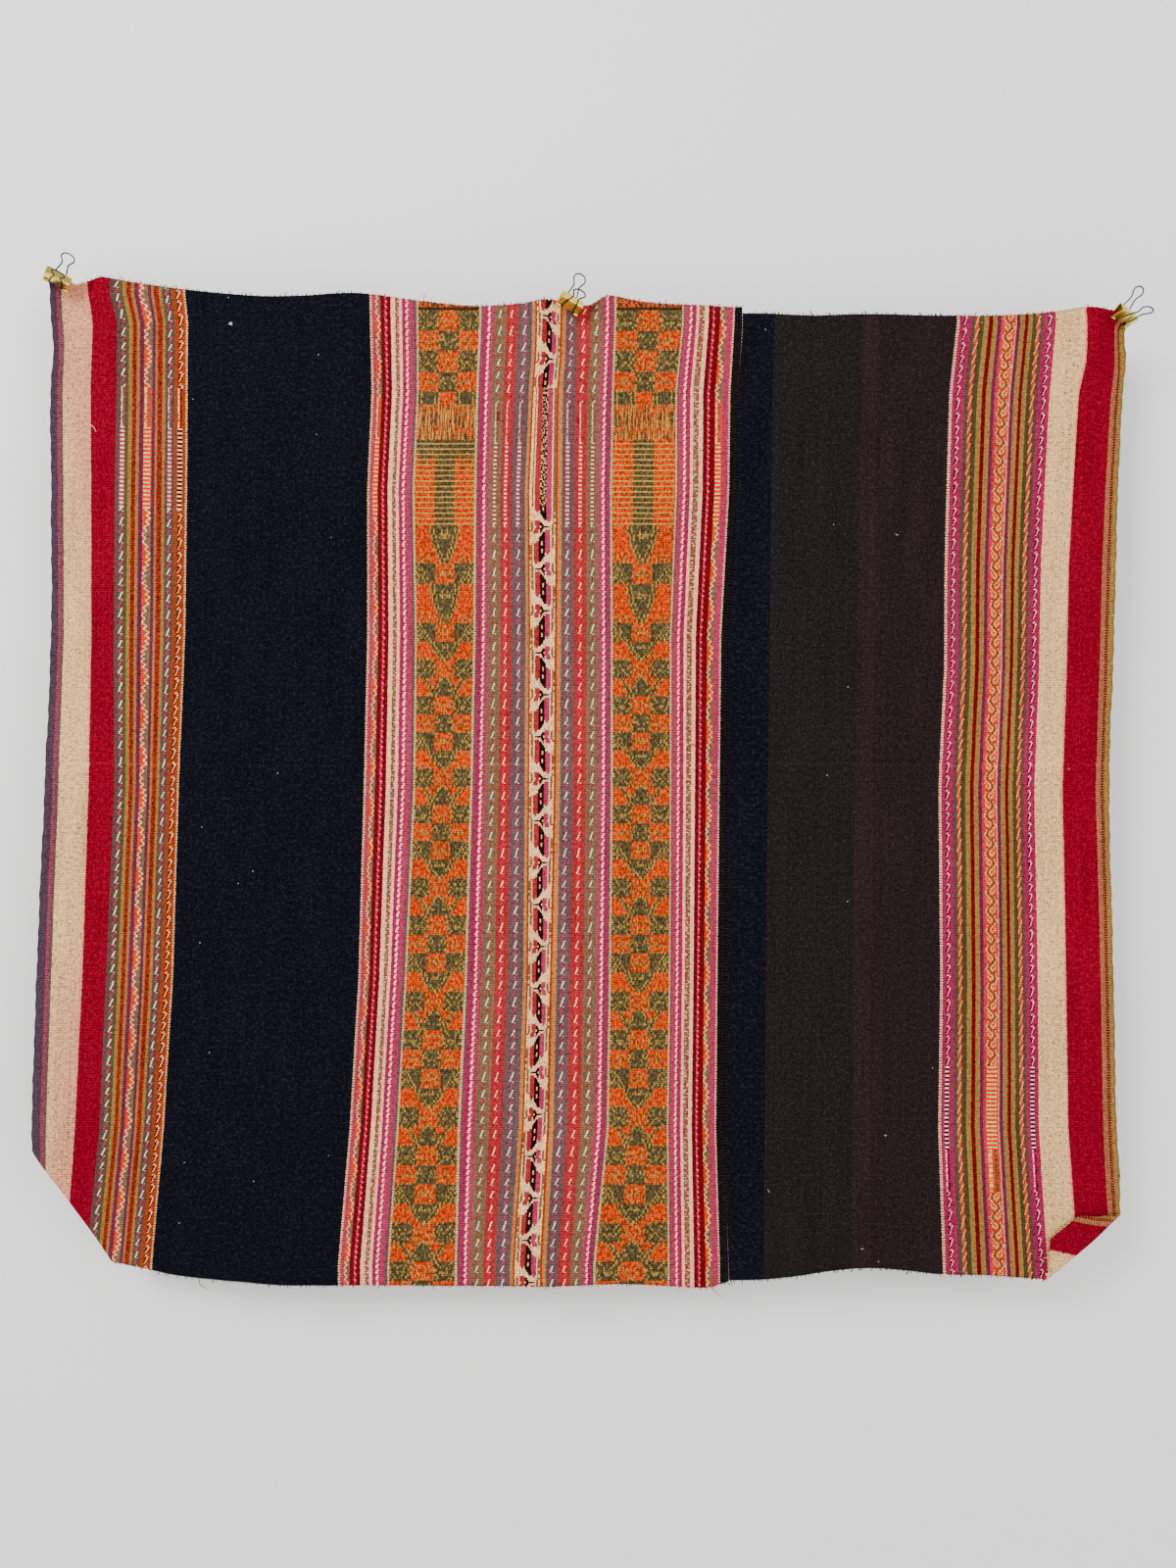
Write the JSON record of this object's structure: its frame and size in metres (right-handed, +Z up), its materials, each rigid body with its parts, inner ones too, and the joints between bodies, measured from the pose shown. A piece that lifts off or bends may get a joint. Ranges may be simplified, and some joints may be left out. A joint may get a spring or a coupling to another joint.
{
  "type": "aguayo carrying cloth with fold-back clips",
  "caption": "Hanging carrying cloth of two sewn warp-faced panels, lower corners folded, held along its top edge by sprung wire-handled clips.",
  "frame": {"origin": "middle of the eye in the middle clip's back wire, where the cloth hangs from a nail", "axes": "+X to the right as the front of the cloth is looked at, +Z up; the front of the cloth faces -Y"},
  "size_m": [1.1604, 0.0511, 1.0885],
  "materials": {
    "cloth": "handspun warp-faced weave in navy, brown, crimson, magenta, cream and orange stripes, fine weft ridges, dry and slightly fuzzy",
    "clip_plate": "thin brass plating on sprung steel, satin, rubbed at the bends",
    "wire": "dark plated round wire, smooth"
  },
  "bodies": {
    "root": {"left_panel": "cloth", "right_panel": "cloth", "clip_left": "clip_plate", "clip_left_back_wire": "wire", "clip_left_front_wire": "wire", "clip_middle": "clip_plate", "clip_middle_back_wire": "wire", "clip_middle_front_wire": "wire", "clip_right": "clip_plate", "clip_right_back_wire": "wire", "clip_right_front_wire": "wire"}
  },
  "joints": []
}
